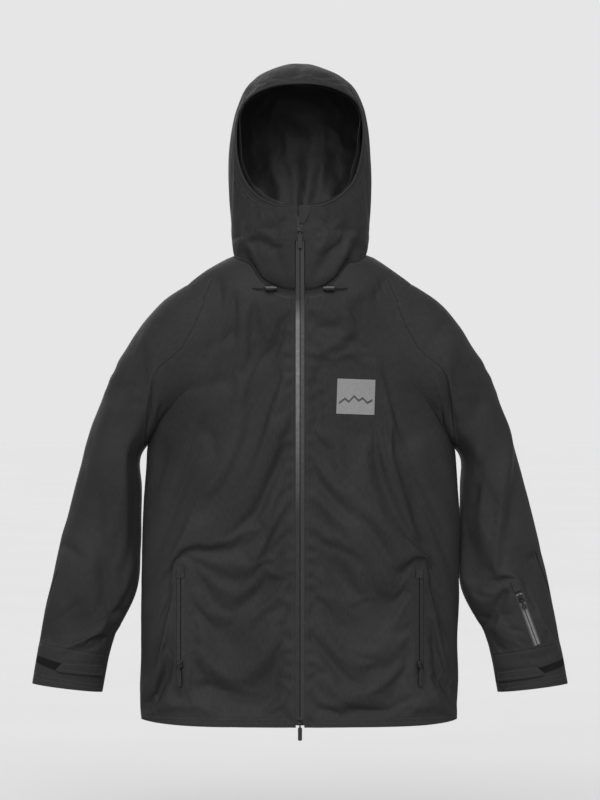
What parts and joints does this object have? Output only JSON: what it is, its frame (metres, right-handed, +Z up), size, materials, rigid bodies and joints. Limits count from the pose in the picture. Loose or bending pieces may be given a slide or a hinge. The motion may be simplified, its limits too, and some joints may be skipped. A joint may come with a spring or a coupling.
{
  "type": "ski jacket",
  "caption": "Hooded insulated-shell ski jacket hanging zipped up, with two-way front zip, hand and forearm pocket zips, cuff tabs, hood cord locks and inner powder skirt.",
  "frame": {"origin": "where a peg bears in the hanger loop, at the back of the neck", "axes": "+X the wearer's left, -Y the front, +Z up along the front zip"},
  "size_m": [0.944, 0.2408, 1.1799],
  "materials": {
    "shell_fabric": "matte charcoal woven shell with a dry film face",
    "lining_fabric": "smooth black lining taffeta",
    "zip_film": "satin film laminated over the zip tape",
    "zip_coil": "black coil",
    "moulded_trim": "matte black moulding",
    "hook_and_loop": "black looped pile",
    "slider_metal": "satin black paint on cast zinc",
    "puller_rubber": "matte black rubbery moulding",
    "patch_print": null,
    "webbing": "black flat webbing",
    "label_cloth": "plain grey satin label, blank",
    "elastic_cord": "black braided elastic",
    "snap_metal": "brushed steel"
  },
  "bodies": {
    "torso": {"back_panel": "shell_fabric", "collar_back": "shell_fabric", "front_panel_left": "shell_fabric", "front_panel_right": "shell_fabric", "collar_front_left": "shell_fabric", "collar_front_right": "shell_fabric", "sleeve_cap_left": "shell_fabric", "sleeve_cap_right": "shell_fabric", "chin_guard": "shell_fabric", "body_lining": "lining_fabric", "hand_pocket_bag_left": "lining_fabric", "hand_pocket_bag_right": "lining_fabric", "storm_flap": "lining_fabric", "powder_skirt": "lining_fabric", "main_zip_tape_left": "zip_film", "main_zip_tape_right": "zip_film", "hand_zip_left": "zip_film", "hand_zip_right": "zip_film", "main_zip_coil_left": "zip_coil", "main_zip_coil_right": "zip_coil", "hand_garages": "moulded_trim", "cord_lock_left": "moulded_trim", "cord_lock_right": "moulded_trim", "cord_eyelets": "moulded_trim", "chest_patch": "patch_print", "hanger_loop": "webbing", "neck_label": "label_cloth", "hood_cord_left": "elastic_cord", "hood_cord_right": "elastic_cord", "skirt_stud": "snap_metal"},
    "hood": {"hood_brim": "shell_fabric", "hood_centre_panel": "shell_fabric", "hood_side_left": "shell_fabric", "hood_side_right": "shell_fabric", "hood_lining": "lining_fabric"},
    "upper_sleeve_left": {"upper_sleeve_left": "shell_fabric"},
    "upper_sleeve_right": {"upper_sleeve_right": "shell_fabric"},
    "forearm_left": {"forearm_sleeve_left": "shell_fabric", "cuff_pad_left": "hook_and_loop", "sleeve_zip": "zip_film", "sleeve_garage": "moulded_trim", "sleeve_pocket_bag": "lining_fabric"},
    "forearm_right": {"forearm_sleeve_right": "shell_fabric", "cuff_pad_right": "hook_and_loop"},
    "cuff_tab_left": {"cuff_tab_left": "shell_fabric"},
    "cuff_tab_right": {"cuff_tab_right": "shell_fabric"},
    "main_upper_slider": {"main_upper_slider": "slider_metal"},
    "main_upper_puller": {"main_upper_puller": "puller_rubber"},
    "main_lower_slider": {"main_lower_slider": "slider_metal"},
    "main_lower_puller": {"main_lower_puller": "puller_rubber"},
    "hand_slider_left": {"hand_slider_left": "slider_metal"},
    "hand_puller_left": {"hand_puller_left": "puller_rubber"},
    "hand_slider_right": {"hand_slider_right": "slider_metal"},
    "hand_puller_right": {"hand_puller_right": "puller_rubber"},
    "sleeve_slider": {"sleeve_slider": "slider_metal"},
    "sleeve_puller": {"sleeve_puller": "puller_rubber"},
    "cord_lock_button_left": {"cord_lock_button_left": "moulded_trim"},
    "cord_lock_button_right": {"cord_lock_button_right": "moulded_trim"}
  },
  "joints": [
    {"name": "hood_tilt", "type": "hinge", "parent": "torso", "child": "hood", "pos_m": [0, -0.072, 0.15], "axis": [1, 0, 0], "range_deg": [-30, 10]},
    {"name": "shoulder_left", "type": "hinge", "parent": "torso", "child": "upper_sleeve_left", "pos_m": [0.3425, -0.082, -0.376], "axis": [0, -1, 0], "range_deg": [0, 40]},
    {"name": "shoulder_right", "type": "hinge", "parent": "torso", "child": "upper_sleeve_right", "pos_m": [-0.3425, -0.082, -0.376], "axis": [0, 1, 0], "range_deg": [0, 40]},
    {"name": "elbow_left", "type": "hinge", "parent": "upper_sleeve_left", "child": "forearm_left", "pos_m": [0.359, -0.058, -0.49], "axis": [-0.9854, 0, -0.1701], "range_deg": [0, 55]},
    {"name": "elbow_right", "type": "hinge", "parent": "upper_sleeve_right", "child": "forearm_right", "pos_m": [-0.359, -0.058, -0.49], "axis": [-0.9854, 0, 0.1701], "range_deg": [0, 55]},
    {"name": "main_upper_zip", "type": "slide", "parent": "torso", "child": "main_upper_slider", "axis": [0, 0, -1], "range_m": [0, 0.5]},
    {"name": "main_lower_zip", "type": "slide", "parent": "torso", "child": "main_lower_slider", "axis": [0, 0, 1], "range_m": [0, 0.28]},
    {"name": "main_upper_puller_swing", "type": "hinge", "parent": "main_upper_slider", "child": "main_upper_puller", "pos_m": [0, -0.1719, 0.0721], "axis": [-1, 0, 0], "range_deg": [0, 150]},
    {"name": "main_lower_puller_swing", "type": "hinge", "parent": "main_lower_slider", "child": "main_lower_puller", "pos_m": [0, -0.1719, -0.7819], "axis": [-1, 0, 0], "range_deg": [0, 150]},
    {"name": "hand_zip_left_slide", "type": "slide", "parent": "torso", "child": "hand_slider_left", "axis": [0, 0, 1], "range_m": [0, 0.14]},
    {"name": "hand_puller_left_swing", "type": "hinge", "parent": "hand_slider_left", "child": "hand_puller_left", "pos_m": [0.20986, -0.14383, -0.6859], "axis": [-0.9488, -0.3159, 0], "range_deg": [0, 150]},
    {"name": "hand_zip_right_slide", "type": "slide", "parent": "torso", "child": "hand_slider_right", "axis": [0, 0, 1], "range_m": [0, 0.14]},
    {"name": "hand_puller_right_swing", "type": "hinge", "parent": "hand_slider_right", "child": "hand_puller_right", "pos_m": [-0.20986, -0.14383, -0.6859], "axis": [-0.9488, 0.3159, 0], "range_deg": [0, 150]},
    {"name": "sleeve_zip_slide", "type": "slide", "parent": "forearm_left", "child": "sleeve_slider", "axis": [0.3437, 0.0574, -0.9373], "range_m": [0, 0.07]},
    {"name": "sleeve_puller_swing", "type": "hinge", "parent": "sleeve_slider", "child": "sleeve_puller", "pos_m": [0.38851, -0.12072, -0.57205], "axis": [-0.9212, -0.1733, -0.3484], "range_deg": [0, 150]},
    {"name": "cuff_tab_left_lift", "type": "hinge", "parent": "forearm_left", "child": "cuff_tab_left", "pos_m": [0.348, -0.0908, -0.7014], "axis": [0, 0.191, -0.9816], "range_deg": [0, 75]},
    {"name": "cuff_tab_right_lift", "type": "hinge", "parent": "forearm_right", "child": "cuff_tab_right", "pos_m": [-0.348, -0.0908, -0.7014], "axis": [0, -0.191, 0.9816], "range_deg": [0, 75]},
    {"name": "cord_lock_button_left_press", "type": "slide", "parent": "torso", "child": "cord_lock_button_left", "axis": [1, 0, 0], "range_m": [0, 0.003], "stiffness_N_per_m": 1200, "springref_m": -0.001},
    {"name": "cord_lock_button_right_press", "type": "slide", "parent": "torso", "child": "cord_lock_button_right", "axis": [-1, 0, 0], "range_m": [0, 0.003], "stiffness_N_per_m": 1200, "springref_m": -0.001}
  ]
}
